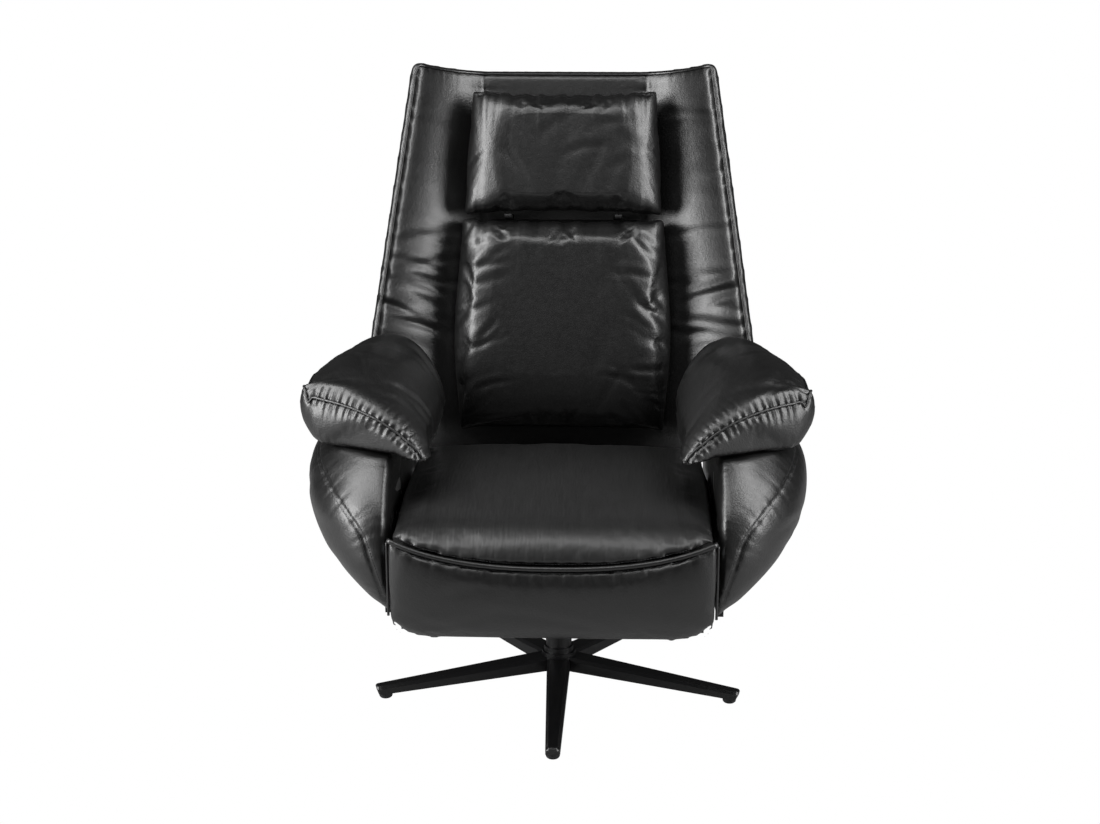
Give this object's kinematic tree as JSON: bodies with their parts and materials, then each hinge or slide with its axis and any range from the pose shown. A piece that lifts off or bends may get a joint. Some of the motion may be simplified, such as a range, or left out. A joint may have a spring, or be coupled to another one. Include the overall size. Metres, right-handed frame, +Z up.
{
  "type": "swivel recliner",
  "caption": "Wing back recliner with a fold-out leg rest, padded arms and a tilting head cushion, on a flat star base that swivels.",
  "frame": {"origin": "the point on the floor under the swivel axis", "axes": "+Z up along the swivel axis, -Y the way the sitter faces, +X the sitter's left"},
  "size_m": [0.854, 0.798, 1.0921],
  "materials": {
    "base_enamel": "satin",
    "frame_steel": "satin",
    "zinc_steel": "satin",
    "glide_plastic": "matte",
    "bush_plastic": "matte",
    "plywood": "matte",
    "webbing": "matte",
    "cover_cloth": "matte",
    "black_leather": "satin"
  },
  "bodies": {
    "base": {"star_base": "base_enamel", "glides": "glide_plastic", "centre_post": "zinc_steel", "hub_collar": "base_enamel", "thrust_washer": "bush_plastic", "retaining_washer": "zinc_steel", "retaining_nut": "zinc_steel"},
    "seat": {"swivel_tube": "base_enamel", "lower_bush": "bush_plastic", "upper_bush": "bush_plastic", "swivel_plate": "frame_steel", "plate_bolts": "zinc_steel", "side_rail_left": "frame_steel", "side_rail_right": "frame_steel", "front_cross_tube": "frame_steel", "rear_cross_tube": "frame_steel", "cross_rail_front": "frame_steel", "cross_rail_rear": "frame_steel", "seat_webbing": "webbing", "dust_cover": "cover_cloth", "seat_cushion": "black_leather", "seat_front_board": "plywood", "knee_roll": "black_leather", "legrest_bracket_left": "frame_steel", "legrest_bracket_right": "frame_steel", "legrest_pins": "zinc_steel", "back_bracket_left": "frame_steel", "back_bracket_right": "frame_steel", "back_hinge_pins": "zinc_steel", "side_outriggers_left": "frame_steel", "side_outriggers_right": "frame_steel", "side_panel_left": "plywood", "side_panel_right": "plywood", "side_body_left": "black_leather", "side_body_right": "black_leather", "arm_pad_left": "black_leather", "arm_pad_right": "black_leather"},
    "legrest": {"legrest_arm_left": "frame_steel", "legrest_arm_right": "frame_steel", "legrest_board": "plywood", "legrest_pad": "black_leather", "flap_hinge_panel_leaves": "zinc_steel", "flap_hinge_pins": "zinc_steel"},
    "flap": {"flap_board": "plywood", "flap_pad": "black_leather", "flap_hinge_flap_leaves": "zinc_steel"},
    "back": {"back_shell": "black_leather", "back_upright_left": "frame_steel", "back_upright_right": "frame_steel", "back_cross_bars": "frame_steel", "lumbar_cushion": "black_leather", "headrest_brackets": "frame_steel", "headrest_pins": "zinc_steel"},
    "headrest": {"headrest_arms": "frame_steel", "headrest_board": "plywood", "head_cushion": "black_leather"}
  },
  "joints": [
    {"name": "seat_swivel", "type": "hinge", "parent": "base", "child": "seat", "pos_m": [0, 0, 0.2], "axis": [0, 0, 1], "continuous": true},
    {"name": "back_recline", "type": "hinge", "parent": "seat", "child": "back", "pos_m": [0, 0.2, 0.31], "axis": [-1, 0, 0], "range_deg": [0, 38]},
    {"name": "legrest_lift", "type": "hinge", "parent": "seat", "child": "legrest", "pos_m": [0, -0.343, 0.372], "axis": [-1, 0, 0], "range_deg": [0, 88], "deforming": ["knee_roll"]},
    {"name": "flap_fold", "type": "hinge", "parent": "legrest", "child": "flap", "pos_m": [0, -0.348, 0.236], "axis": [-1, 0, 0], "range_deg": [0, 176]},
    {"name": "headrest_tilt", "type": "hinge", "parent": "back", "child": "headrest", "pos_m": [0, 0.22818, 0.8157], "axis": [1, 0, 0], "range_deg": [0, 40]}
  ],
  "couplings": [
    {"joint": "flap_fold", "follows": "legrest_lift", "ratio": 2}
  ]
}
